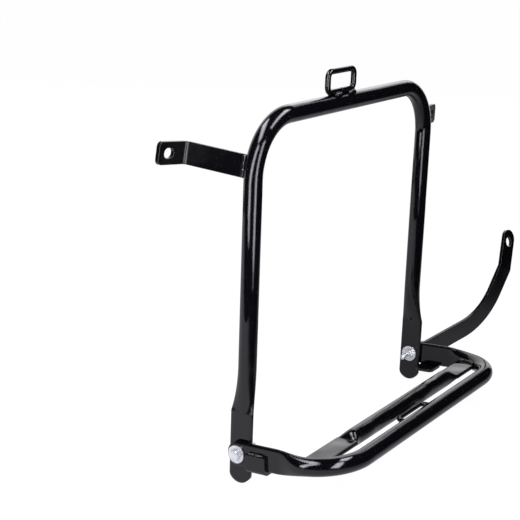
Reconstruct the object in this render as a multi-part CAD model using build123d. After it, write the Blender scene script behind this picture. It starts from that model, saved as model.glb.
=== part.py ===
from build123d import *
from math import cos, degrees, radians, sin, tan
import os

# Sizes in millimetres and degrees. X runs from the front leg to the rear leg,
# Y runs inward to the vehicle, Z is up. Everything is drawn about the middle of the
# pivot axis, then moved so that the origin is the centre of the front bracket's slot.

# Round tube and its pressed flat ends
tube_d = 18.0
flat_width = 25.5
flat_thick = 5.0
end_crown = 0.25

# Upright hoop
leg_spacing = 340.0
hoop_height = 324.0
hoop_bend_radius = 55.0
leg_flat_length = 41.0
leg_press_length = 47.0
leg_tail = 32.3
vent_d = 3.0
vent_height = 43.8
vent_depth = 3.0

# Folding tray
tray_tilt = 5.0
tray_depth = 112.5
tray_bend_radius = 52.0
arm_straight = 16.5
arm_press_length = 36.0
arm_tail = 10.5

# Crossbar of the tray
crossbar_gap = 35.0
front_plate_length = 76.0
rear_plate_length = 60.0
crossbar_press_length = 13.0
crossbar_flat_thick = 4.5

# Wire strap loops
top_wire_d = 6.0
top_loop_width = 50.0
top_loop_height = 20.5
top_loop_corner = 6.0
top_loop_x = -19.5
top_loop_seam = 1.2
tray_wire_d = 5.0
tray_loop_length = 55.0
tray_loop_corner = 6.0
tray_loop_x = 2.7
tray_loop_drop = 2.0
tray_loop_gap = 1.0

# Flat bar of the brackets and the stay
bar_width = 22.0
bar_thick = 4.0
bar_bend_inner = 3.0
slot_length = 15.0
slot_width = 10.0
tab_corner = 5.0
slot_from_end = 15.0

# Front bracket
front_bracket_reach = 79.5
front_bracket_drop = 43.5
front_bracket_rise = 2.7
front_bracket_roll = 7.0
front_tab_length = 42.0

# Rear bracket
rear_bracket_length = 79.0
rear_bracket_drop = 50.0
rear_bracket_angle = 25.0
rear_tab_angle = 9.5
rear_tab_length = 32.0

# Rear stay
stay_fold_offset = 13.0
stay_angle = 17.0
stay_slope = 12.4
stay_straight = 65.0
stay_bend_radius = 80.0
stay_bend_angle = 48.7
stay_upper = 32.0
stay_kink = 19.0
stay_hole_reach = 34.0
stay_hole_d = 12.5
stay_end_reach = 4.5

# Stop clips
clip_thick = 3.5
clip_length = 22.5
clip_height = 3.0
clip_reach = 16.0
clip_corner = 5.0
rear_clip_setback = 22.0
stop_gap = 0.3

# Weld beads
weld_radius = 3.0
small_weld_radius = 2.2
weld_taper = 0.6
loop_weld_length = 13.0
front_loop_weld = -9.0
rear_loop_weld = 17.0

# Pivot hardware
bolt_d = 6.0
front_bolt_length = 30.0
rear_bolt_length = 35.0
hex_across = 10.0
head_height = 4.0
nut_height = 5.0
washer_d = 18.0
washer_thick = 1.6
pivot_play = 0.08
washer_play = 0.2
face_gap = 0.2

# Derived places
tube_r = tube_d / 2
end_radius = flat_width / 2 + end_crown
front_bracket_height = hoop_height - front_bracket_drop
rear_bracket_height = hoop_height - rear_bracket_drop
bend_start = tray_depth - tray_bend_radius
arm_flat_length = bend_start - arm_straight
crossbar_depth = tray_depth - crossbar_gap
leg_x = leg_spacing / 2
leg_outer = leg_x + tube_r
leg_inner = leg_outer - flat_thick
arm_inner = leg_outer + face_gap
arm_outer = arm_inner + flat_thick
arm_x = arm_inner + flat_thick / 2
stay_face = arm_outer + face_gap
arm_dip = flat_width / 2 * sin(radians(tray_tilt))
clip_start = (flat_width / 2 + stop_gap - arm_dip) / cos(radians(tray_tilt))
far = 500.0


def mix(low, high, share):
    """Value a given share of the way from low to high."""
    return low + (high - low) * share


def pressed_section(thick, share):
    """Outline of the tube pressed by a share between round (0) and flat (1)."""
    width = mix(tube_d, flat_width, share)
    depth = mix(tube_d, thick, share)
    crown = tube_r * (1 - cos(radians(45))) * (1 - share) ** 0.5
    edge = mix(tube_r * sin(radians(45)), (flat_width - thick) / 2, share)
    side = depth / 2 - crown
    corners = [(side, -edge), (side, edge), (-side, edge), (-side, -edge)]
    if share < 1:
        broad_a = ThreePointArc(corners[0], (depth / 2, 0), corners[1])
        broad_b = ThreePointArc(corners[2], (-depth / 2, 0), corners[3])
    else:
        broad_a = Line(corners[0], corners[1])
        broad_b = Line(corners[2], corners[3])
    rim_a = ThreePointArc(corners[1], (0, width / 2), corners[2])
    rim_b = ThreePointArc(corners[3], (0, -width / 2), corners[0])
    return make_face([broad_a, rim_a, broad_b, rim_b])


def crisp(share):
    """Press that begins with a crease at the flat."""
    return share * share


def gentle(share):
    """Press that blends into the flat and the round."""
    return share * share * (3 - 2 * share)


def straight_place(distance):
    """Place along a straight tube end."""
    return Pos(0, 0, distance)


def pressed_end(thick, flat_length, press_length, tail, flush, press=crisp, place=straight_place):
    """Flattened tube end along +Z. Flush 1 keeps the +X side straight, 0 is central."""
    sections = []
    for step in range(7):
        share = 1 - step / 6
        eased = press(share)
        shift = flush * (tube_d - mix(tube_d, thick, eased)) / 2
        along = place(mix(flat_length + press_length, flat_length, share))
        sections.append(along * Pos(shift, 0, 0) * pressed_section(thick, eased))
    neck = loft(sections)
    flat = Pos(flush * (tube_d - thick) / 2, 0, -tail) * pressed_section(thick, 1)
    plate = extrude(flat, flat_length + tail)
    if tail > 0:
        rounding = Pos(0, 0, end_radius - tail) * Rot(0, 90, 0) * Cylinder(end_radius, far)
        rest = Pos(0, 0, end_radius - tail + far / 2) * Box(far, far, far)
        plate = plate & (rounding + rest)
    return plate + neck


def swept(path, outline):
    """Outline carried square along a path."""
    return sweep(Plane(origin=path @ 0, z_dir=path % 0) * outline, path=path)


def along_x(diameter, start, end):
    """Round bar along the pivot axis between two places."""
    return Pos((start + end) / 2, 0, 0) * Rot(0, 90, 0) * Cylinder(diameter / 2, end - start)


def both_sides(shape):
    """Shape and its mirror image across the middle."""
    return shape + mirror(shape, Plane.YZ)


def make_main_hoop():
    foot = leg_flat_length + leg_press_length
    path = FilletPolyline(
        (-leg_x, 0, foot), (-leg_x, 0, hoop_height), (leg_x, 0, hoop_height), (leg_x, 0, foot),
        radius=hoop_bend_radius)
    tube = swept(path, Circle(tube_r))
    end = pressed_end(flat_thick, leg_flat_length, leg_press_length, leg_tail, 1)
    leg = Pos(leg_x, 0, 0) * end
    leg -= Pos(0, 0, vent_height) * along_x(vent_d, leg_inner - vent_depth, leg_inner + vent_depth)
    hoop = tube + both_sides(leg)
    return hoop - along_x(bolt_d + 2 * pivot_play, -far, far)


def tray_place(shape):
    """Shape drawn with the tray level, set to the tray's resting tilt."""
    return Rot(-tray_tilt, 0, 0) * shape


def arm_place(distance):
    """Place along the +X arm, on into its bend."""
    turn = max(distance - bend_start, 0) / tray_bend_radius
    across = -tray_bend_radius * (1 - cos(turn))
    ahead = min(distance, bend_start) + tray_bend_radius * sin(turn)
    return Pos(across, 0, ahead) * Rot(0, -degrees(turn), 0)


def tray_path():
    """Middle line of the tray's round tube, between the necks of its arms."""
    turn = (arm_flat_length + arm_press_length - bend_start) / tray_bend_radius
    neck = arm_place(arm_flat_length + arm_press_length).position
    sweep_angle = 90 - degrees(turn)
    front = JernArc((-arm_x - neck.X, -neck.Z), (sin(turn), -cos(turn)), tray_bend_radius, sweep_angle)
    middle = Line(front @ 1, (arm_x - tray_bend_radius, -tray_depth))
    rear = JernArc(middle @ 1, middle % 1, tray_bend_radius, sweep_angle)
    return Wire([front, middle, rear])


def make_tray_hoop():
    tube = swept(tray_path(), Circle(tube_r))
    end = pressed_end(flat_thick, arm_flat_length, arm_press_length, arm_tail, 0, gentle, arm_place)
    arm = Location(Plane(origin=(arm_x, 0, 0), x_dir=(1, 0, 0), z_dir=(0, -1, 0))) * end
    hoop = tube + both_sides(arm)
    return hoop - along_x(bolt_d + 2 * pivot_play, -far, far)


def make_crossbar_end(plate_length):
    """Flat end of the crossbar on the +X side, with its neck."""
    end = pressed_end(crossbar_flat_thick, plate_length, crossbar_press_length, 0, 0)
    seat = Plane(origin=(arm_x, -crossbar_depth, 0), x_dir=(0, 0, 1), z_dir=(-1, 0, 0))
    return Location(seat) * end


def make_crossbar(tray_hoop):
    front = arm_x - front_plate_length - crossbar_press_length
    rear = arm_x - rear_plate_length - crossbar_press_length
    bar = Pos(0, -crossbar_depth, 0) * along_x(tube_d, -front, rear)
    bar += to_front(make_crossbar_end(front_plate_length))
    bar += make_crossbar_end(rear_plate_length)
    return bar - tray_hoop


def make_top_loop():
    low = hoop_height + tube_r + top_wire_d / 2
    high = low + top_loop_height
    half = top_loop_width / 2
    path = FilletPolyline(
        (top_loop_seam / 2, 0, low), (half, 0, low), (half, 0, high), (-half, 0, high), (-half, 0, low),
        (-top_loop_seam / 2, 0, low), radius=top_loop_corner)
    return Pos(top_loop_x, 0, 0) * swept(path, Circle(top_wire_d / 2))


def make_tray_loop(tray_hoop):
    inner = -(crossbar_depth + tube_r + tray_loop_gap + tray_wire_d / 2)
    half = tray_loop_length / 2
    path = FilletPolyline(
        (half, -tray_depth, 0), (half, inner, 0), (-half, inner, 0), (-half, -tray_depth, 0),
        radius=tray_loop_corner)
    wire = swept(path, Circle(tray_wire_d / 2))
    return Pos(tray_loop_x, 0, -tray_loop_drop) * wire - tray_hoop


def slot_cutter():
    """Slot through a bar, along X, cut along Y."""
    return extrude(Plane.XZ * SlotOverall(slot_length, slot_width), bar_thick * 2, both=True)


def tab_outline(length):
    """Tab drawn on XZ from the origin along X, far end rounded."""
    tab = Pos(length / 2, 0) * Rectangle(length, bar_width)
    ends = tab.vertices().group_by(Axis.X)[-1]
    return Plane.XZ * fillet(ends, tab_corner)


def bent_bracket(first, turn, tab_length):
    """Flat bar from the origin along X, turned about Z by an angle, with a slotted tab."""
    bend_mid = bar_bend_inner + bar_thick / 2
    setback = bend_mid * tan(radians(abs(turn) / 2))
    corner = Vector(first, 0)
    way = Vector(cos(radians(turn)), sin(radians(turn)))
    path = FilletPolyline((0, 0), corner, corner + way * (setback + 1), radius=bend_mid)
    bar = swept(path, Rectangle(bar_thick, bar_width))
    straight = tab_length - setback
    tab = extrude(tab_outline(straight), bar_thick / 2, both=True)
    tab -= Pos(straight - slot_from_end, 0, 0) * slot_cutter()
    place = corner + way * setback
    return bar + Pos(place.X, place.Y, 0) * Rot(0, 0, turn) * tab


def front_bracket_place():
    tilt = Rot(0, 0, 90) * Rot(front_bracket_roll, 0, 0) * Rot(0, -front_bracket_rise, 0)
    return Pos(-leg_x, 0, front_bracket_height) * tilt


def rear_bracket_place():
    return Pos(leg_x, 0, rear_bracket_height) * Rot(0, 0, rear_bracket_angle)


def make_front_bracket(main_hoop):
    bracket = bent_bracket(front_bracket_reach, 90, front_tab_length)
    return front_bracket_place() * bracket - main_hoop


def make_rear_bracket(main_hoop):
    bracket = bent_bracket(rear_bracket_length, rear_tab_angle - rear_bracket_angle, rear_tab_length)
    return rear_bracket_place() * bracket - main_hoop


def bead(length, radius):
    """Weld bead along Z with tapered ends."""
    run = Cylinder(radius, length)
    return chamfer(run.edges().filter_by(GeomType.CIRCLE), radius * weld_taper)


def make_bracket_welds(place, main_hoop, bracket):
    """Bead on each broad side of a bracket, where it meets its leg."""
    run = bead(bar_width, weld_radius)
    beads = [place * Pos(tube_r, side * bar_thick / 2, 0) * run for side in (-1, 1)]
    return Part() + beads - main_hoop - bracket


def make_loop_welds(main_hoop, loop):
    """Short beads on both sides of the top loop's lower wire."""
    run = Rot(0, 90, 0) * bead(loop_weld_length, weld_radius)
    beads = []
    for x in (front_loop_weld, rear_loop_weld):
        for side in (-1, 1):
            beads.append(Pos(top_loop_x + x, side * (weld_radius + 0.5), hoop_height + tube_r) * run)
    return Part() + beads - main_hoop - loop


def make_tray_loop_welds(tray_hoop, loop):
    """Collar of weld round each leg of the tray loop, widest at the tube."""
    reach = (tube_r ** 2 - tray_loop_drop ** 2) ** 0.5
    wire_r = tray_wire_d / 2
    height = 2 * small_weld_radius
    collar = Rot(-90, 0, 0) * Cone(wire_r + height, wire_r + small_weld_radius / 4, height)
    collars = []
    for side in (-1, 1):
        x = tray_loop_x + side * tray_loop_length / 2
        collars.append(Pos(x, reach - tray_depth, -tray_loop_drop) * collar)
    return Part() + collars - tray_hoop - loop


def make_crossbar_welds(tray_hoop, crossbar):
    """Beads over and under the crossbar's flat ends, following the tray tube."""
    half = crossbar_flat_thick / 2
    reach = (tube_r ** 2 - half ** 2) ** 0.5
    side = arm_x - reach
    end = tray_depth - reach
    path = FilletPolyline(
        (-side, 0), (-side, -end), (side, -end), (side, 0), radius=tray_bend_radius - reach)
    run = swept(path, Circle(small_weld_radius))
    length = flat_width - 2 * small_weld_radius
    keep = Pos(0, -crossbar_depth, 0) * Box(far * 2, length, far)
    beads = [(Pos(0, 0, level) * run) & keep for level in (-half, half)]
    return Part() + beads - tray_hoop - crossbar


def make_clip_welds(tray_hoop, front_clip, rear_clip):
    """Bead on the arm along the upper edge of each stop clip."""
    beads = []
    for side, setback in ((-1, clip_start), (1, rear_clip_setback)):
        length = clip_start + clip_length - setback - 2 * small_weld_radius
        run = Rot(90, 0, 0) * bead(length, small_weld_radius)
        middle = -(clip_start + clip_length + setback) / 2
        beads.append(Pos(side * (arm_outer + small_weld_radius / 2), middle, clip_height) * run)
    return Part() + beads - tray_hoop - front_clip - rear_clip


def sloped_bar(length_a, length_b, rise_a, rise_b):
    """Strip of bar on XZ between two places, with upright ends."""
    half = bar_width / 2 / cos(radians(stay_slope))
    lower = [(length_a, rise_a - half), (length_b, rise_b - half)]
    upper = [(length_b, rise_b + half), (length_a, rise_a + half)]
    return Plane.XZ * make_face(Polyline(*lower, *upper, close=True))


def make_stay_fold(start, rise):
    """Fold between the pivot tab and the run, as sections round an upright axis."""
    turn = 90 - stay_angle
    radius = bar_bend_inner + bar_thick / 2
    height = bar_width / cos(radians(stay_slope))
    sections = []
    for step in range(5):
        angle = turn * step / 4
        lift = rise + radians(angle) * radius * tan(radians(stay_slope))
        axis = Pos(stay_face + bar_thick / 2 + radius, start, 0) * Rot(0, 0, 180 + angle)
        sections.append(axis * Pos(radius, 0, lift) * (Plane.XZ * Rectangle(bar_thick, height)))
    return loft(sections)


def make_rear_stay():
    slope = radians(stay_slope)
    turn = radians(90 - stay_angle)
    bend_mid = bar_bend_inner + bar_thick / 2
    setback = bend_mid * tan(turn / 2)
    tab_end = stay_fold_offset - setback
    rise_a = tab_end * tan(slope)
    rise_b = rise_a + turn * bend_mid * tan(slope)

    # Tab round the pivot bolt, drawn on XZ and turned to face along X
    tab = extrude(sloped_bar(0, tab_end, 0, rise_a), bar_thick / 2, both=True)
    tab += Rot(90, 0, 0) * Cylinder(bar_width / 2, bar_thick)
    tab = Pos(stay_face + bar_thick / 2, 0, 0) * Rot(0, 0, -90) * tab
    fold = make_stay_fold(-tab_end, rise_a)

    # Curved run in its own upright plane, from the end of the fold
    run_path = Line((0, rise_b), (stay_straight * cos(slope), rise_b + stay_straight * sin(slope)))
    arc = JernArc(run_path @ 1, run_path % 1, stay_bend_radius, stay_bend_angle)
    upper = Line(arc @ 1, arc @ 1 + (arc % 1) * (stay_upper - 3))
    foot = sloped_bar(0, bar_width / 2, rise_b, rise_b + bar_width / 2 * tan(slope))
    strip = trace([run_path, arc, upper], bar_width)
    blank = extrude(Plane.XZ * strip, bar_thick / 2, both=True)
    keep = Pos(far / 2, 0, 0) * Box(far, far, far)
    run = (blank & keep) + extrude(foot, bar_thick / 2, both=True)

    # Kinked end with its hole, square to the bar
    end_angle = stay_slope + stay_bend_angle
    reach = (upper @ 1).X, (upper @ 1).Y
    run += Pos(reach[0], 0, reach[1]) * Rot(0, -end_angle, 0) * make_stay_end()

    start = Vector(stay_face + bar_thick / 2, -stay_fold_offset) + Vector(
        cos(radians(stay_angle)), -sin(radians(stay_angle))) * setback
    run = Pos(start.X, start.Y, 0) * Rot(0, 0, -stay_angle) * run
    stay = tab + fold + run
    return stay - along_x(bolt_d + 2 * washer_play, stay_face - 1, stay_face + bar_thick + 1)


def make_stay_end():
    """End of the stay along X: a short bend, then the drilled eye, leaning to +Y."""
    bend_mid = bar_bend_inner + bar_thick / 2
    setback = bend_mid * tan(radians(stay_kink / 2))
    corner = Vector(3, 0)
    way = Vector(cos(radians(stay_kink)), sin(radians(stay_kink)))
    path = FilletPolyline((0, 0), corner, corner + way * (setback + 1), radius=bend_mid)
    bend = swept(path, Rectangle(bar_thick, bar_width))
    length = stay_hole_reach + stay_end_reach - setback
    eye = Pos(length / 2, 0) * Rectangle(length, bar_width) + Pos(length, 0) * Circle(bar_width / 2)
    eye -= Pos(stay_hole_reach - setback, 0) * Circle(stay_hole_d / 2)
    plate = extrude(Plane.XZ * eye, bar_thick / 2, both=True)
    place = corner + way * setback
    return bend + Pos(place.X, place.Y, 0) * Rot(0, 0, stay_kink) * plate


def make_stop_clip(setback):
    """Folded plate at the +X arm: one side on the arm, the other under it."""
    top = clip_height
    low = -flat_width / 2 - clip_thick / 2
    side = arm_outer + clip_thick / 2
    inner = arm_inner - clip_reach
    path = FilletPolyline((side, 0, top), (side, 0, low), (inner, 0, low), radius=clip_thick)
    outline = Rectangle(clip_length, clip_thick)
    folded = sweep(Plane(origin=path @ 0, x_dir=(0, 1, 0), z_dir=path % 0) * outline, path)
    clip = Pos(0, -clip_start - clip_length / 2, 0) * folded
    tip = clip.faces().sort_by(Axis.X)[0]
    clip = fillet(tip.edges().filter_by(Axis.Z), clip_corner)
    if setback > 0:
        clip -= Pos(arm_outer + far / 2 - face_gap, -setback + far / 2, 0) * Box(far, far, far)
    return clip


def hexagon(height):
    """Hexagonal block along X from the origin, both ends chamfered."""
    radius = hex_across / 2 / cos(radians(30))
    block = extrude(Plane.YZ * RegularPolygon(radius, 6), height)
    round_stock = along_x(2 * radius, 0, height)
    trimmed = chamfer(round_stock.edges(), (radius - hex_across / 2) * 0.9)
    return block & trimmed


def make_bolt(seat, length):
    """Bolt with its head beyond the seat on +X and its tip toward the middle."""
    shank = along_x(bolt_d, seat - length, seat)
    tip = shank.edges().sort_by(Axis.X)[0]
    shank = chamfer(tip, bolt_d * 0.1)
    return shank + Pos(seat, 0, 0) * hexagon(head_height)


def make_washer(start):
    disc = along_x(washer_d, start, start + washer_thick)
    return disc - along_x(bolt_d + 2 * washer_play, start - 1, start + washer_thick + 1)


def make_nut(start):
    bore = along_x(bolt_d + 2 * pivot_play, -1, nut_height + 1)
    return Pos(start, 0, 0) * (hexagon(nut_height) - bore)


def to_front(shape):
    """Piece drawn for the rear side, turned over to the front side."""
    return mirror(shape, Plane.YZ)


def make_frame_nodes():
    """Upright hoop with what is welded or bolted to it, but no pivot hardware."""
    hoop = make_main_hoop()
    loop = make_top_loop()
    front = make_front_bracket(hoop)
    rear = make_rear_bracket(hoop)
    return {
        "main_hoop": hoop,
        "top_strap_loop": loop,
        "top_loop_welds": make_loop_welds(hoop, loop),
        "front_bracket": front,
        "front_bracket_welds": make_bracket_welds(front_bracket_place(), hoop, front),
        "rear_bracket": rear,
        "rear_bracket_welds": make_bracket_welds(rear_bracket_place(), hoop, rear),
        "rear_stay": make_rear_stay(),
    }


def make_tray_nodes():
    """Folding tray, drawn level."""
    tray = make_tray_hoop()
    crossbar = make_crossbar(tray)
    loop = make_tray_loop(tray)
    front_clip = to_front(make_stop_clip(0))
    rear_clip = make_stop_clip(rear_clip_setback)
    return {
        "tray_hoop": tray,
        "tray_crossbar": crossbar,
        "crossbar_welds": make_crossbar_welds(tray, crossbar),
        "tray_strap_loop": loop,
        "tray_loop_welds": make_tray_loop_welds(tray, loop),
        "front_stop_clip": front_clip,
        "rear_stop_clip": rear_clip,
        "clip_welds": make_clip_welds(tray, front_clip, rear_clip),
    }


def make_nodes():
    nodes = make_frame_nodes()
    for name, shape in make_tray_nodes().items():
        nodes[name] = tray_place(shape)
    front_seat = arm_outer + face_gap
    rear_seat = stay_face + bar_thick
    nodes["front_head_washer"] = to_front(make_washer(front_seat))
    nodes["rear_head_washer"] = make_washer(rear_seat)
    nodes["front_pivot_bolt"] = to_front(make_bolt(front_seat + washer_thick, front_bolt_length))
    nodes["rear_pivot_bolt"] = make_bolt(rear_seat + washer_thick, rear_bolt_length)
    nodes["rear_nut_washer"] = make_washer(leg_inner - washer_thick)
    nodes["front_nut_washer"] = to_front(nodes["rear_nut_washer"])
    nodes["rear_nut"] = make_nut(leg_inner - washer_thick - nut_height)
    nodes["front_nut"] = to_front(nodes["rear_nut"])
    return nodes


def slot_origin():
    """Centre of the front bracket's slot, measured from the pivot axis."""
    slot = front_bracket_place() * Pos(front_bracket_reach, front_tab_length - slot_from_end, 0)
    return slot.position


def main():
    os.makedirs("parts", exist_ok=True)
    origin = slot_origin()
    for name, shape in make_nodes().items():
        export_step(Pos(-origin.X, -origin.Y, -origin.Z) * shape, f"parts/{name}.step")


main()
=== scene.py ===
from math import cos, pi, radians, sin

import bmesh
import bpy
import numpy as np
from bpy.props import FloatProperty, FloatVectorProperty, PointerProperty
from bpy.types import Operator, Panel, PropertyGroup
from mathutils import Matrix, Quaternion, Vector


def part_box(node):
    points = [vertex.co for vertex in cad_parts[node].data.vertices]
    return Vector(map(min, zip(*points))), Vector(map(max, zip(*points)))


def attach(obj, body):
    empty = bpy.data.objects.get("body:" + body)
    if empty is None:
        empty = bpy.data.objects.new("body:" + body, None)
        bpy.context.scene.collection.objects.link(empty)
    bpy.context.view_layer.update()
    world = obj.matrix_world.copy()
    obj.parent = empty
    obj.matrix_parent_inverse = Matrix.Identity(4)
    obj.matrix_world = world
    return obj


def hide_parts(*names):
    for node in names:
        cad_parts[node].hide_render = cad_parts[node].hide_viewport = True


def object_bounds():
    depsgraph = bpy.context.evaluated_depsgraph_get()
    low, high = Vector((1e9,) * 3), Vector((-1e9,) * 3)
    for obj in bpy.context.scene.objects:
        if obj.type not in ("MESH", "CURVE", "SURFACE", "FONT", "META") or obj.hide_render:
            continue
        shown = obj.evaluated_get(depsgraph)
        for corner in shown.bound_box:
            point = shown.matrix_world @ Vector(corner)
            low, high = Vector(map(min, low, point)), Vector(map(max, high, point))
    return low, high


bl_info = {
    "name": "Pannier Frame Finish",
    "version": (1, 0, 0),
    "blender": (4, 5, 0),
    "location": "3D View > Sidebar > Pannier Frame",
    "description": "Paint, plating, weld beads, bolt threads and a studio for a pannier frame",
    "category": "Object",
}

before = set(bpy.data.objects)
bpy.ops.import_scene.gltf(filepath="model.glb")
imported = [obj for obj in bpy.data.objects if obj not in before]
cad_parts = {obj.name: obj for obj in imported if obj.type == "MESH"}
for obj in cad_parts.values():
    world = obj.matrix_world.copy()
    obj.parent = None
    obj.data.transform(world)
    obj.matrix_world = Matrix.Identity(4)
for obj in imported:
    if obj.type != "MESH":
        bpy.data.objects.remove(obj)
cad_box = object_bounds()

FRAME_WELDS = ("top_loop_welds", "front_bracket_welds", "rear_bracket_welds")
TRAY_WELDS = ("crossbar_welds", "tray_loop_welds", "clip_welds")
BARS = ("front_bracket", "rear_bracket", "rear_stay")
SMALL_PIECES = ("top_strap_loop", "tray_strap_loop", "front_stop_clip", "rear_stop_clip")
TUBES = ("main_hoop", "tray_hoop")
PLATES = ("tray_crossbar",)
PLATED = (
    "front_head_washer", "rear_head_washer", "front_nut_washer", "rear_nut_washer",
    "front_nut", "rear_nut")

# Coats of the paint: the nodes that have it, with the settings for its roughness, its dents and its edges
COATS = {
    "gloss_black": (SMALL_PIECES, "gloss", "dent_depth", "edge_radius"),
    "gloss_black_tube": (TUBES, "gloss", "dent_depth", "press_radius"),
    "gloss_black_plate": (PLATES, "gloss", "press_depth", "press_radius"),
    "satin_black_bar": (BARS, "satin", "dent_depth", "edge_radius"),
}

# Cells of noise per metre
DUST_CELLS = 900
GLOSS_CELLS = 28
CLOUD_CELLS = 240
SHINE_CELLS = 500
GRAIN_CELLS = 2600

# Levels of noise, from 0 to 1
NOISE_MIDDLE = 0.5
NOISE_SPREAD = (0.3, 0.7)
CLOUD_EDGE = (0.35, 0.65)
DUST_EDGE = (0.70, 0.76)

# Finishes: a coat's roughness varies by the spread, and the zinc's between its two values
PAINT_IOR = 1.5
GLOSS_SPREAD = (0.64, 1.36)
ZINC_METALLIC = 0.8
ZINC_ROUGHNESS = (0.18, 0.26)
ZINC_GRAIN_DEPTH = 0.000003
EDGE_SAMPLES = 6

MERGE_DISTANCE = 1e-6

# Weld beads: the depth to which they are filled, how much more a straight bead spreads along than across, and
# the level of a ripple's wave that lies on the plain bead
BEAD_BAND = 0.01
LONG_BEAD = 3
RIPPLE_LEVEL = 0.6

# Bolt thread: steps of one turn, and sides of the ridge and of the core
THREAD_STEPS = 28
RIDGE_SIDES = 8
CORE_SIDES = 32

# Camera: millimetres
SENSOR_WIDTH = 36

# Floor: half its width, its distance below the leg ends, and its finish
FLOOR_SIZE = 60
FLOOR_DROP = 0.0005
FLOOR_GREY = 0.9
FLOOR_ROUGHNESS = 0.9
FLOOR_GLOW = 1.01
FLOOR_GLOW_SHARE = 0.9

# Dark cloth: azimuth and elevation of its middle in degrees, and how far round it reaches from there
FLAG_RADIUS = 3
FLAG_MIDDLE = (231, 8)
FLAG_REACH = 130
FLAG_GLOW = 0.004

# Table: a card that only the gloss sees, glowing as painted lamplight on a table top. Its distance below the
# leg ends, its extent, the stretch along X over which its glow falls as painted shade under the frame, and
# the axis, edge and start of each fade, painted shade toward its edges
TABLE_DROP = 0.004
TABLE_X = (-0.45, 1.3)
TABLE_Y = (-0.45, 1.15)
TABLE_SLOPE = (-0.2, 0.35)
TABLE_GLOW = (0.95, 0.5)
TABLE_FADES = (("X", TABLE_X[1], 0.8), ("Y", TABLE_Y[0], -0.2), ("Y", TABLE_Y[1], 0.9))


class PaintSettings(PropertyGroup):
    """Black paint on the tubes, bars and welds."""
    colour: FloatVectorProperty(
        name="Paint Colour", description="Colour of the black paint", subtype="COLOR",
        default=(0.0013, 0.0013, 0.0018), min=0, max=1)
    dust: FloatVectorProperty(
        name="Dust Colour", description="Colour of the fine dust left in the paint", subtype="COLOR",
        default=(0.06, 0.06, 0.062), min=0, max=1)
    gloss: FloatProperty(
        name="Gloss", description="Roughness of the paint on tubes, loops and clips",
        default=0.055, min=0, max=1)
    satin: FloatProperty(
        name="Satin", description="Roughness of the paint on flat bars",
        default=0.25, min=0, max=1)
    peel_size: FloatProperty(
        name="Peel Size", description="Width of the slow waves in the paint film",
        default=0.0035, min=0.0005, unit="LENGTH")
    peel_depth: FloatProperty(
        name="Peel Depth", description="Depth of the slow waves in the paint film",
        default=0.000012, min=0, unit="LENGTH", precision=6)
    dent_size: FloatProperty(
        name="Dent Size", description="Width of the shallow dents that pressing and bending leave",
        default=0.045, min=0.01, unit="LENGTH")
    dent_depth: FloatProperty(
        name="Dent Depth", description="Depth of the shallow dents",
        default=0.0010, min=0, unit="LENGTH", precision=5)
    press_depth: FloatProperty(
        name="Press Depth", description="Depth of the shallow dents in the crossbar's pressed plates",
        default=0.007, min=0, unit="LENGTH", precision=5)
    edge_radius: FloatProperty(
        name="Edge Radius", description="Rounding of the edges of bars, loops and clips",
        default=0.001, min=0, unit="LENGTH", precision=5)
    press_radius: FloatProperty(
        name="Press Radius", description="Rounding of the creases where the tubes are pressed flat",
        default=0.0032, min=0, unit="LENGTH", precision=5)


class PlateSettings(PropertyGroup):
    """Zinc plating on the bolts, nuts and washers."""
    bright: FloatVectorProperty(
        name="Bright Zinc", description="Colour of clean plating", subtype="COLOR",
        default=(0.72, 0.73, 0.745), min=0, max=1)
    dull: FloatVectorProperty(
        name="Dull Zinc", description="Colour of clouded plating", subtype="COLOR",
        default=(0.58, 0.595, 0.62), min=0, max=1)
    edge_radius: FloatProperty(
        name="Edge Radius", description="Rounding of the hardware's edges",
        default=0.00025, min=0, unit="LENGTH", precision=5)


class ThreadSettings(PropertyGroup):
    """Thread on the ends of the pivot bolts."""
    pitch: FloatProperty(
        name="Pitch", description="Distance from one thread crest to the next",
        default=0.001, min=0.0003, unit="LENGTH", precision=5)
    depth: FloatProperty(
        name="Depth", description="Height of the thread above its root",
        default=0.00055, min=0.0001, unit="LENGTH", precision=5)


class WeldSettings(PropertyGroup):
    """Rippled weld beads."""
    ripple_pitch: FloatProperty(
        name="Ripple Pitch", description="Distance from one ripple to the next along a bead",
        default=0.0021, min=0.0005, unit="LENGTH", precision=5)
    ripple_height: FloatProperty(
        name="Ripple Height", description="Height of the ripples",
        default=0.0005, min=0, unit="LENGTH", precision=5)
    lump_size: FloatProperty(
        name="Lump Size", description="Width of the uneven lumps",
        default=0.0032, min=0.001, unit="LENGTH", precision=5)
    lump_height: FloatProperty(
        name="Lump Height", description="Height of the uneven lumps",
        default=0.0015, min=0, unit="LENGTH", precision=5)
    grain: FloatProperty(
        name="Grain", description="Size of the mesh cells of a bead",
        default=0.0004, min=0.0002, unit="LENGTH", precision=5)


class StudioSettings(PropertyGroup):
    """Camera, floor and lights."""
    camera: FloatVectorProperty(
        name="Camera", description="Place of the camera", subtype="TRANSLATION", unit="LENGTH",
        default=(-0.90306, -0.71051, 0.23139))
    aim: FloatVectorProperty(
        name="Aim", description="Point at the middle of the picture", subtype="TRANSLATION", unit="LENGTH",
        default=(0.13525, -0.01709, -0.13079))
    roll: FloatProperty(
        name="Roll", description="Turn of the camera about its line of sight",
        default=radians(1.86), unit="ROTATION")
    lens: FloatProperty(
        name="Lens", description="Focal length for a 36 mm sensor", default=86.54, min=10)
    white: FloatVectorProperty(
        name="White", description="Colour of the floor and the backdrop", subtype="COLOR",
        default=(1.0, 1.0, 1.0), min=0, max=1)
    fill: FloatProperty(
        name="Fill", description="Strength of the light from all round", default=0.9, min=0)
    strip: FloatProperty(
        name="Strip Lights", description="Power of each strip light per square metre", default=35.0, min=0)
    # The lamps don't light the table card: this colour is painted into its own glow as their light
    tint: FloatVectorProperty(
        name="Lamp Colour", description="Colour of the lamps and of the table that they light",
        subtype="COLOR", default=(0.93, 0.92, 1.0), min=0, max=1)


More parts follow.
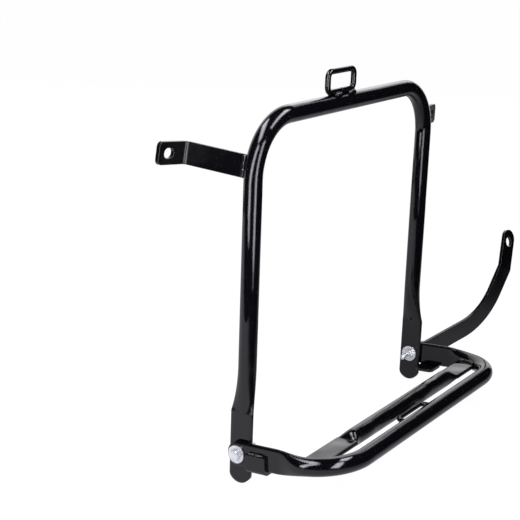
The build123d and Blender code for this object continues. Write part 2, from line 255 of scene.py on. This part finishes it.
def add_node(tree, kind, **settings):
    """New node with its properties set."""
    node = tree.nodes.new(kind)
    for name, value in settings.items():
        setattr(node, name, value)
    return node


def math_node(tree, operation, first, second=None):
    """Sum, product or other step on one or two values, each a socket or a number."""
    node = add_node(tree, "ShaderNodeMath", operation=operation)
    for socket, value in zip(node.inputs, (first, second)):
        if isinstance(value, (int, float)):
            socket.default_value = value
        elif value is not None:
            tree.links.new(value, socket)
    return node.outputs["Value"]


def noise(tree, place, cells, detail):
    """Noise with some cells per metre, as its factor."""
    node = add_node(tree, "ShaderNodeTexNoise")
    node.inputs["Scale"].default_value = cells
    node.inputs["Detail"].default_value = detail
    tree.links.new(place, node.inputs["Vector"])
    return node.outputs["Fac"]


def remap(tree, value, given, wanted):
    """Value carried from one range to another, smoothly."""
    node = add_node(tree, "ShaderNodeMapRange", interpolation_type="SMOOTHSTEP")
    for name, number in zip(("From Min", "From Max", "To Min", "To Max"), (*given, *wanted)):
        node.inputs[name].default_value = number
    tree.links.new(value, node.inputs["Value"])
    return node.outputs["Result"]


def mix_colours(tree, share, first, second):
    """Colour between two colours."""
    node = add_node(tree, "ShaderNodeMix", data_type="RGBA")
    colours = [socket for socket in node.inputs if socket.type == "RGBA"]
    colours[0].default_value = (*first, 1)
    colours[1].default_value = (*second, 1)
    tree.links.new(share, node.inputs["Factor"])
    return next(socket for socket in node.outputs if socket.type == "RGBA")


def new_material(name):
    """Material with its tree and its shader."""
    material = bpy.data.materials.new(name)
    material.use_nodes = True
    tree = material.node_tree
    return material, tree, tree.nodes["Principled BSDF"]


def object_place(tree):
    """Place on the object, in its own coordinates."""
    return add_node(tree, "ShaderNodeTexCoord").outputs["Object"]


def bump(tree, shader, reliefs, edge_radius):
    """Reliefs, each a height and its depth, one over the other on softened edges."""
    edge = add_node(tree, "ShaderNodeBevel", samples=EDGE_SAMPLES)
    edge.inputs["Radius"].default_value = edge_radius
    normal = edge.outputs["Normal"]
    for height, depth in reliefs:
        relief = add_node(tree, "ShaderNodeBump")
        relief.inputs["Strength"].default_value = 1.0
        relief.inputs["Distance"].default_value = depth
        tree.links.new(height, relief.inputs["Height"])
        tree.links.new(normal, relief.inputs["Normal"])
        normal = relief.outputs["Normal"]
    tree.links.new(normal, shader.inputs["Normal"])


def black_paint(name="gloss_black"):
    """One coat of black paint with a slow wave in the film, dust specks and uneven gloss."""
    if name in bpy.data.materials:
        return bpy.data.materials[name]
    paint = bpy.context.scene.pannier_paint
    material, tree, shader = new_material(name)
    place = object_place(tree)
    specks = remap(tree, noise(tree, place, DUST_CELLS, detail=3), DUST_EDGE, (0, 1))
    tree.links.new(mix_colours(tree, specks, paint.colour, paint.dust), shader.inputs["Base Color"])
    rough, depth, rounding = [getattr(paint, setting) for setting in COATS[name][1:]]
    uneven = noise(tree, place, GLOSS_CELLS, detail=4)
    gloss = remap(tree, uneven, NOISE_SPREAD, [part * rough for part in GLOSS_SPREAD])
    tree.links.new(gloss, shader.inputs["Roughness"])
    shader.inputs["IOR"].default_value = PAINT_IOR
    dents = noise(tree, place, 1 / paint.dent_size, detail=1)
    peel = noise(tree, place, 1 / paint.peel_size, detail=1)
    bump(tree, shader, [(dents, depth), (peel, paint.peel_depth)], rounding)
    return material


def zinc_plate():
    """Bright zinc plating, clouded in patches and finely grained."""
    name = "zinc_plating"
    if name in bpy.data.materials:
        return bpy.data.materials[name]
    plate = bpy.context.scene.pannier_plate
    material, tree, shader = new_material(name)
    place = object_place(tree)
    cloud = remap(tree, noise(tree, place, CLOUD_CELLS, detail=4), CLOUD_EDGE, (0, 1))
    tree.links.new(mix_colours(tree, cloud, plate.bright, plate.dull), shader.inputs["Base Color"])
    shine = remap(tree, noise(tree, place, SHINE_CELLS, detail=3), NOISE_SPREAD, ZINC_ROUGHNESS)
    tree.links.new(shine, shader.inputs["Roughness"])
    shader.inputs["Metallic"].default_value = ZINC_METALLIC
    grain = noise(tree, place, GRAIN_CELLS, detail=2)
    bump(tree, shader, [(grain, ZINC_GRAIN_DEPTH)], plate.edge_radius)
    return material


def finish_nodes(names, material):
    """CAD nodes given one material."""
    for name in names:
        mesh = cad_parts[name].data
        mesh.materials.clear()
        mesh.materials.append(material)


def make_piece(name, mesh, body, nodes):
    """Finished mesh as a piece that rides on a body and stands for CAD nodes."""
    piece = bpy.data.objects.new(name, mesh)
    bpy.context.scene.collection.objects.link(piece)
    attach(piece, body)
    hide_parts(*nodes)


def node_tree(name, sockets):
    """Empty geometry tree with named inputs and one geometry output, and the sockets of its inputs."""
    tree = bpy.data.node_groups.new(name, "GeometryNodeTree")
    tree.interface.new_socket("Geometry", in_out="OUTPUT", socket_type="NodeSocketGeometry")
    for label, kind in sockets:
        tree.interface.new_socket(label, in_out="INPUT", socket_type=kind)
    return tree, tree.nodes.new("NodeGroupInput").outputs


def end_tree(tree, geometry, material):
    """Geometry shaded smooth, realized and given its material."""
    smooth = tree.nodes.new("GeometryNodeSetShadeSmooth")
    realize = tree.nodes.new("GeometryNodeRealizeInstances")
    paint = tree.nodes.new("GeometryNodeSetMaterial")
    tree.links.new(geometry, smooth.inputs["Geometry"])
    tree.links.new(smooth.outputs["Geometry"], realize.inputs["Geometry"])
    tree.links.new(realize.outputs["Geometry"], paint.inputs["Geometry"])
    tree.links.new(material, paint.inputs["Material"])
    tree.links.new(paint.outputs["Geometry"], tree.nodes.new("NodeGroupOutput").inputs["Geometry"])


def grow(tree, values, mesh=None):
    """Plain mesh that a tree gives for the values of its named inputs."""
    holder = bpy.data.objects.new("grow", mesh or bpy.data.meshes.new("grow"))
    bpy.context.scene.collection.objects.link(holder)
    modifier = holder.modifiers.new("grow", "NODES")
    modifier.node_group = tree
    for item in tree.interface.items_tree:
        if item.in_out == "INPUT" and item.name in values:
            modifier[item.identifier] = values[item.name]
    evaluated = holder.evaluated_get(bpy.context.evaluated_depsgraph_get())
    made = bpy.data.meshes.new_from_object(evaluated)
    holder.modifiers.remove(modifier)
    bpy.data.objects.remove(holder)
    if not made.polygons:
        raise RuntimeError(f"{tree.name} made nothing")
    made.materials.clear()
    made.materials.append(values["Material"])
    made.polygons.foreach_set("material_index", [0] * len(made.polygons))
    return made


def islands(bm):
    """Vertices of each separate shell."""
    left = set(bm.verts)
    while left:
        shell = set()
        todo = [left.pop()]
        while todo:
            vert = todo.pop()
            shell.add(vert)
            near = [edge.other_vert(vert) for edge in vert.link_edges]
            todo += [other for other in near if other in left]
            left.difference_update(near)
        yield shell


def bead_run(points):
    """Long axis of a bead, or nothing for a round collar."""
    spread = np.cov(np.array(points).T)
    sizes, axes = np.linalg.eigh(spread)
    if sizes[2] < LONG_BEAD * sizes[1]:
        return Vector((0, 0, 0))
    return Vector(axes[:, 2])


def merged_copy(names):
    """Copies of CAD nodes in one mesh, with their loose triangles merged."""
    bm = bmesh.new()
    for name in names:
        bm.from_mesh(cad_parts[name].data)
    bmesh.ops.remove_doubles(bm, verts=bm.verts, dist=MERGE_DISTANCE)
    return bm


def weld_blanks(names):
    """Copies of the plain beads in one mesh, each with its own long axis."""
    bm = merged_copy(names)
    axis = bm.verts.layers.float_vector.new("bead_axis")
    for shell in islands(bm):
        run = bead_run([vert.co for vert in shell])
        for vert in shell:
            vert[axis] = run
    mesh = bpy.data.meshes.new("weld_blanks")
    bm.to_mesh(mesh)
    bm.free()
    return mesh


def weld_tree():
    """Even cells over each bead, raised in ripples across its run and in lumps."""
    floats = ("Ripple Pitch", "Ripple Height", "Lump Size", "Lump Height", "Grain")
    sockets = [("Geometry", "NodeSocketGeometry")] + [(label, "NodeSocketFloat") for label in floats]
    tree, given = node_tree("Weld Beads", sockets + [("Material", "NodeSocketMaterial")])
    link = tree.links.new
    volume = add_node(tree, "GeometryNodeMeshToVolume", resolution_mode="VOXEL_SIZE")
    link(given["Geometry"], volume.inputs["Mesh"])
    link(given["Grain"], volume.inputs["Voxel Size"])
    volume.inputs["Interior Band Width"].default_value = BEAD_BAND
    skin = add_node(tree, "GeometryNodeVolumeToMesh", resolution_mode="VOXEL_SIZE")
    link(volume.outputs["Volume"], skin.inputs["Volume"])
    link(given["Grain"], skin.inputs["Voxel Size"])

    place = tree.nodes.new("GeometryNodeInputPosition").outputs["Position"]
    axis = add_node(tree, "GeometryNodeInputNamedAttribute", data_type="FLOAT_VECTOR")
    axis.inputs["Name"].default_value = "bead_axis"
    nearest = add_node(tree, "GeometryNodeSampleNearestSurface", data_type="FLOAT_VECTOR")
    link(given["Geometry"], nearest.inputs["Mesh"])
    link(axis.outputs["Attribute"], nearest.inputs["Value"])
    along = add_node(tree, "ShaderNodeVectorMath", operation="DOT_PRODUCT")
    link(nearest.outputs["Value"], along.inputs[0])
    link(place, along.inputs[1])

    lump = tree.nodes.new("ShaderNodeTexNoise")
    link(math_node(tree, "DIVIDE", 1.0, given["Lump Size"]), lump.inputs["Scale"])
    link(place, lump.inputs["Vector"])
    uneven = math_node(tree, "SUBTRACT", lump.outputs["Fac"], NOISE_MIDDLE)
    turns = math_node(tree, "DIVIDE", along.outputs["Value"], given["Ripple Pitch"])
    turns = math_node(tree, "ADD", turns, uneven)
    wave = math_node(tree, "SINE", math_node(tree, "MULTIPLY", turns, pi))
    wave = math_node(tree, "SUBTRACT", math_node(tree, "ABSOLUTE", wave), RIPPLE_LEVEL)
    ripple = math_node(tree, "MULTIPLY", wave, given["Ripple Height"])
    height = math_node(tree, "ADD", ripple, math_node(tree, "MULTIPLY", uneven, given["Lump Height"]))

    offset = add_node(tree, "ShaderNodeVectorMath", operation="SCALE")
    link(tree.nodes.new("GeometryNodeInputNormal").outputs["Normal"], offset.inputs["Vector"])
    link(height, offset.inputs["Scale"])
    moved = tree.nodes.new("GeometryNodeSetPosition")
    link(skin.outputs["Mesh"], moved.inputs["Geometry"])
    link(offset.outputs["Vector"], moved.inputs["Offset"])
    end_tree(tree, moved.outputs["Geometry"], given["Material"])
    return tree


def thread_tree():
    """Screw thread along Z: a round-crested ridge wound on a core."""
    floats = ("Length", "Pitch", "Core Radius", "Ridge Radius")
    sockets = [(label, "NodeSocketFloat") for label in floats] + [("Material", "NodeSocketMaterial")]
    tree, given = node_tree("Bolt Thread", sockets)
    link = tree.links.new
    spiral = tree.nodes.new("GeometryNodeCurveSpiral")
    spiral.inputs["Resolution"].default_value = THREAD_STEPS
    link(math_node(tree, "DIVIDE", given["Length"], given["Pitch"]), spiral.inputs["Rotations"])
    link(given["Core Radius"], spiral.inputs["Start Radius"])
    link(given["Core Radius"], spiral.inputs["End Radius"])
    link(given["Length"], spiral.inputs["Height"])
    ring = add_node(tree, "GeometryNodeCurvePrimitiveCircle", mode="RADIUS")
    ring.inputs["Resolution"].default_value = RIDGE_SIDES
    link(given["Ridge Radius"], ring.inputs["Radius"])
    ridge = tree.nodes.new("GeometryNodeCurveToMesh")
    link(spiral.outputs["Curve"], ridge.inputs["Curve"])
    link(ring.outputs["Curve"], ridge.inputs["Profile Curve"])
    ridge.inputs["Fill Caps"].default_value = True

    core = tree.nodes.new("GeometryNodeMeshCylinder")
    core.inputs["Vertices"].default_value = CORE_SIDES
    link(given["Core Radius"], core.inputs["Radius"])
    link(given["Length"], core.inputs["Depth"])
    lift = tree.nodes.new("GeometryNodeTransform")
    link(core.outputs["Mesh"], lift.inputs["Geometry"])
    up = tree.nodes.new("ShaderNodeCombineXYZ")
    link(math_node(tree, "MULTIPLY", given["Length"], 0.5), up.inputs["Z"])
    link(up.outputs["Vector"], lift.inputs["Translation"])
    join = tree.nodes.new("GeometryNodeJoinGeometry")
    link(ridge.outputs["Mesh"], join.inputs["Geometry"])
    link(lift.outputs["Geometry"], join.inputs["Geometry"])
    end_tree(tree, join.outputs["Geometry"], given["Material"])
    return tree


def shank_radius():
    """Radius of the bolts' shanks, from the half of the rear bolt that has no head."""
    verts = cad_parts["rear_pivot_bolt"].data.vertices
    low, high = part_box("rear_pivot_bolt")
    middle = (low + high) / 2
    shank = [vert.co for vert in verts if vert.co.x < middle.x]
    return max((point.yz - middle.yz).length for point in shank)


def headed_shank(bolt, cut, side):
    """Copy of a bolt from its head to the outer face of its nut."""
    bm = merged_copy([bolt])
    everything = bm.verts[:] + bm.edges[:] + bm.faces[:]
    made = bmesh.ops.bisect_plane(
        bm, geom=everything, plane_co=(cut, 0, 0), plane_no=(side, 0, 0), clear_outer=True)
    edges = [item for item in made["geom_cut"] if isinstance(item, bmesh.types.BMEdge)]
    bmesh.ops.holes_fill(bm, edges=edges)
    return bm


def make_bolt(tree, end, side):
    """Bolt with its thread showing past the nut, on the side that points to the middle."""
    name = f"{end}_pivot_bolt"
    low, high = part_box(name)
    nut_low, nut_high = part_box(f"{end}_nut")
    thread = bpy.context.scene.pannier_thread
    cut = nut_high.x if side > 0 else nut_low.x
    tip = high.x if side > 0 else low.x
    mesh = grow(tree, {
        "Length": abs(tip - cut), "Pitch": thread.pitch, "Core Radius": shank_radius() - thread.depth,
        "Ridge Radius": thread.depth, "Material": zinc_plate()})
    middle = (low + high) / 2
    turn = Quaternion((0, 1, 0), side * pi / 2).to_matrix().to_4x4()
    turn.translation = (cut, middle.y, middle.z)
    mesh.transform(turn)
    bm = headed_shank(name, cut, side)
    bm.from_mesh(mesh)
    bm.to_mesh(mesh)
    bm.free()
    make_piece(f"{end}_bolt_threaded", mesh, "frame", [name])


def direction(azimuth, elevation):
    """Unit vector, with azimuth in degrees from +X toward +Y."""
    flat = cos(radians(elevation))
    return Vector((cos(radians(azimuth)) * flat, sin(radians(azimuth)) * flat, sin(radians(elevation))))


def hang_light(name, target, azimuth, elevation, distance, size, share=1, roll=0):
    """Soft light facing a target, turned by roll, seen in reflections but not in the picture."""
    studio = bpy.context.scene.pannier_studio
    lamp = bpy.data.lights.new(name, "AREA")
    lamp.shape = "RECTANGLE"
    lamp.size, lamp.size_y = size
    lamp.energy = share * studio.strip * size[0] * size[1]
    lamp.color = studio.tint
    light = bpy.data.objects.new(name, lamp)
    bpy.context.scene.collection.objects.link(light)
    away = direction(azimuth, elevation)
    light.location = target + away * distance
    upright = (-away).to_track_quat("-Z", "Y")
    light.rotation_euler = (upright @ Quaternion((0, 0, 1), radians(roll))).to_euler()
    light.visible_camera = False


def seen_directly(tree):
    """1 for rays from the camera, a mirror or glass, 0 for light that is scattered."""
    path = tree.nodes.new("ShaderNodeLightPath").outputs
    mirror = math_node(tree, "MAXIMUM", path["Is Glossy Ray"], path["Is Transmission Ray"])
    return math_node(tree, "MAXIMUM", path["Is Camera Ray"], mirror)


def light_world(studio):
    """White all round to the eye, and a plain fill for the rest."""
    world = bpy.data.worlds.new("studio_world")
    bpy.context.scene.world = world
    world.use_nodes = True
    tree = world.node_tree
    fill = tree.nodes["Background"]
    fill.inputs["Color"].default_value = (*studio.white, 1)
    fill.inputs["Strength"].default_value = studio.fill
    white = tree.nodes.new("ShaderNodeBackground")
    white.inputs["Color"].default_value = (*studio.white, 1)
    mix = tree.nodes.new("ShaderNodeMixShader")
    tree.links.new(seen_directly(tree), mix.inputs["Fac"])
    tree.links.new(fill.outputs["Background"], mix.inputs[1])
    tree.links.new(white.outputs["Background"], mix.inputs[2])
    tree.links.new(mix.outputs["Shader"], tree.nodes["World Output"].inputs["Surface"])


def floor_material(studio):
    """White floor that keeps a light shadow."""
    material, tree, shader = new_material("studio_floor")
    shader.inputs["Base Color"].default_value = (*[FLOOR_GREY * part for part in studio.white], 1)
    shader.inputs["Roughness"].default_value = FLOOR_ROUGHNESS
    glow = tree.nodes.new("ShaderNodeEmission")
    glow.inputs["Color"].default_value = (*studio.white, 1)
    glow.inputs["Strength"].default_value = FLOOR_GLOW
    mix = tree.nodes.new("ShaderNodeMixShader")
    share = math_node(tree, "MULTIPLY", seen_directly(tree), FLOOR_GLOW_SHARE)
    tree.links.new(share, mix.inputs["Fac"])
    tree.links.new(shader.outputs["BSDF"], mix.inputs[1])
    tree.links.new(glow.outputs["Emission"], mix.inputs[2])
    tree.links.new(mix.outputs["Shader"], tree.nodes["Material Output"].inputs["Surface"])
    return material


def stage_object(name, bm, material):
    """Object of the studio from its mesh."""
    mesh = bpy.data.meshes.new(name)
    bm.to_mesh(mesh)
    bm.free()
    mesh.materials.append(material)
    thing = bpy.data.objects.new(name, mesh)
    bpy.context.scene.collection.objects.link(thing)
    return thing


def lay_floor(studio):
    """Floor under the leg ends."""
    bm = bmesh.new()
    bmesh.ops.create_grid(bm, x_segments=1, y_segments=1, size=FLOOR_SIZE)
    floor = stage_object("studio_floor", bm, floor_material(studio))
    floor.location.z = cad_box[0].z - FLOOR_DROP
    floor.visible_glossy = False


def glow_material(name, colour):
    """Card or cloth of the studio that glows in place of being lit, with its glow node."""
    material, tree, shader = new_material(name)
    tree.nodes.remove(shader)
    glow = tree.nodes.new("ShaderNodeEmission")
    glow.inputs["Color"].default_value = (*colour, 1)
    tree.links.new(glow.outputs["Emission"], tree.nodes["Material Output"].inputs["Surface"])
    return material, glow


def hang_card(name, bm, material):
    """Studio card that shows in the gloss and nowhere else."""
    card = stage_object(name, bm, material)
    card.visible_camera = False
    card.visible_diffuse = False
    card.visible_transmission = False
    card.visible_shadow = False


def hang_flag(studio):
    """Dark cloth on the camera's side, which keeps the gloss paint black."""
    bm = bmesh.new()
    bmesh.ops.create_uvsphere(bm, u_segments=64, v_segments=48, radius=FLAG_RADIUS)
    rim = FLAG_RADIUS * cos(radians(FLAG_REACH))
    open_end = [vert for vert in bm.verts if vert.co.z < rim]
    bmesh.ops.delete(bm, geom=open_end, context="VERTS")
    turn = direction(*FLAG_MIDDLE).to_track_quat("Z", "Y").to_matrix().to_4x4()
    turn.translation = (cad_box[0] + cad_box[1]) / 2
    bm.transform(turn)
    material, glow = glow_material("studio_flag", studio.white)
    glow.inputs["Strength"].default_value = FLAG_GLOW
    hang_card("studio_flag", bm, material)


def lay_table(studio):
    """Glowing table top for the gloss: painted lamplight, brightest by the near leg, with painted shade under
    the frame and toward its edges.
    """
    material, glow = glow_material("studio_table", studio.tint)
    tree = material.node_tree
    axes = tree.nodes.new("ShaderNodeSeparateXYZ")
    tree.links.new(object_place(tree), axes.inputs["Vector"])
    # Painted shade: the glow falls from the near leg to under the frame and fades to nothing toward the edges
    level = remap(tree, axes.outputs["X"], TABLE_SLOPE, TABLE_GLOW)
    for axis, edge, inner in TABLE_FADES:
        fade = remap(tree, axes.outputs[axis], sorted((edge, inner)), (0, 1) if edge < inner else (1, 0))
        level = math_node(tree, "MULTIPLY", level, fade)
    tree.links.new(level, glow.inputs["Strength"])
    bm = bmesh.new()
    (left, right), (front, back) = TABLE_X, TABLE_Y
    corners = [(left, front), (right, front), (right, back), (left, back)]
    bm.faces.new([bm.verts.new((x, y, cad_box[0].z - TABLE_DROP)) for x, y in corners])
    hang_card("studio_table", bm, material)


def place_camera(studio):
    """Camera at the photograph's viewing angle."""
    lens = bpy.data.cameras.new("camera")
    lens.lens = studio.lens
    lens.sensor_width = SENSOR_WIDTH
    camera = bpy.data.objects.new("camera", lens)
    bpy.context.scene.collection.objects.link(camera)
    camera.location = studio.camera
    sight = Vector(studio.aim) - Vector(studio.camera)
    level = sight.to_track_quat("-Z", "Y")
    camera.rotation_mode = "QUATERNION"
    camera.rotation_quaternion = level @ Quaternion((0, 0, 1), studio.roll)
    bpy.context.scene.camera = camera


class PANNIER_OT_paint(Operator):
    """Paint the tubes, bars, loops and clips black"""
    bl_idname = "pannier.paint"
    bl_label = "Paint Tubes and Bars"

    def execute(self, context):
        for name, coat in COATS.items():
            finish_nodes(coat[0], black_paint(name))
        return {"FINISHED"}


class PANNIER_OT_plate(Operator):
    """Plate the nuts and washers with zinc"""
    bl_idname = "pannier.plate"
    bl_label = "Plate Nuts and Washers"

    def execute(self, context):
        finish_nodes(PLATED, zinc_plate())
        return {"FINISHED"}


class PANNIER_OT_bolts(Operator):
    """Make the pivot bolts with their threads"""
    bl_idname = "pannier.bolts"
    bl_label = "Make Pivot Bolts"

    def execute(self, context):
        tree = thread_tree()
        make_bolt(tree, "front", 1)
        make_bolt(tree, "rear", -1)
        return {"FINISHED"}


class PANNIER_OT_welds(Operator):
    """Make the rippled weld beads"""
    bl_idname = "pannier.welds"
    bl_label = "Make Weld Beads"

    def execute(self, context):
        weld = context.scene.pannier_weld
        tree = weld_tree()
        values = {
            "Ripple Pitch": weld.ripple_pitch, "Ripple Height": weld.ripple_height,
            "Lump Size": weld.lump_size, "Lump Height": weld.lump_height,
            "Grain": weld.grain, "Material": black_paint()}
        for body, names in (("frame", FRAME_WELDS), ("tray", TRAY_WELDS)):
            mesh = grow(tree, values, weld_blanks(names))
            make_piece(f"{body}_weld_beads", mesh, body, names)
        return {"FINISHED"}


class PANNIER_OT_studio(Operator):
    """Set the floor, the lights and the camera"""
    bl_idname = "pannier.studio"
    bl_label = "Set Up Studio"

    def execute(self, context):
        studio = context.scene.pannier_studio
        context.scene.view_settings.view_transform = "Standard"
        light_world(studio)
        lay_floor(studio)
        hang_flag(studio)
        lay_table(studio)
        low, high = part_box("main_hoop")
        leg = Vector((low.x, low.y, 0))
        hang_light("left_strip", leg, azimuth=188, elevation=12, distance=0.41, size=(0.145, 0.62), roll=-22)
        hang_light("right_strip", leg, azimuth=255, elevation=2, distance=0.44, size=(0.12, 0.54), roll=-18)
        hang_light("top_strip", leg, azimuth=135, elevation=72, distance=0.475, size=(0.56, 0.17))
        hang_light("right_upper_strip", leg, azimuth=315, elevation=47, distance=0.47, size=(0.36, 0.12))
        top = Vector(((low.x + high.x) / 2, low.y, high.z))
        hang_light("rear_light", top, azimuth=18, elevation=29, distance=0.7, size=(0.45, 0.32), share=1 / 7)
        hang_light("rear_panel", top, azimuth=35, elevation=18, distance=2.4, size=(2.6, 1.6), share=1 / 28)
        place_camera(studio)
        return {"FINISHED"}


class PANNIER_PT_finish(Panel):
    """Sizes, colours and steps of the pannier frame's finish"""
    bl_idname = "PANNIER_PT_finish"
    bl_label = "Pannier Frame"
    bl_space_type = "VIEW_3D"
    bl_region_type = "UI"
    bl_category = "Pannier Frame"

    def draw(self, context):
        for name, settings in SETTINGS.items():
            box = self.layout.box()
            group = getattr(context.scene, name)
            for label in settings.__annotations__:
                box.prop(group, label)
        for step in STEPS:
            self.layout.operator(step.bl_idname)


SETTINGS = {
    "pannier_paint": PaintSettings,
    "pannier_plate": PlateSettings,
    "pannier_thread": ThreadSettings,
    "pannier_weld": WeldSettings,
    "pannier_studio": StudioSettings,
}
STEPS = (PANNIER_OT_paint, PANNIER_OT_plate, PANNIER_OT_bolts, PANNIER_OT_welds, PANNIER_OT_studio)


def register():
    for name, settings in SETTINGS.items():
        bpy.utils.register_class(settings)
        setattr(bpy.types.Scene, name, PointerProperty(type=settings))
    for step in STEPS:
        bpy.utils.register_class(step)
    bpy.utils.register_class(PANNIER_PT_finish)


def unregister():
    bpy.utils.unregister_class(PANNIER_PT_finish)
    for step in reversed(STEPS):
        bpy.utils.unregister_class(step)
    for name, settings in SETTINGS.items():
        delattr(bpy.types.Scene, name)
        bpy.utils.unregister_class(settings)


def main():
    register()
    bpy.ops.pannier.paint()
    bpy.ops.pannier.plate()
    bpy.ops.pannier.bolts()
    bpy.ops.pannier.welds()
    bpy.ops.pannier.studio()


if __name__ == "__main__":
    main()
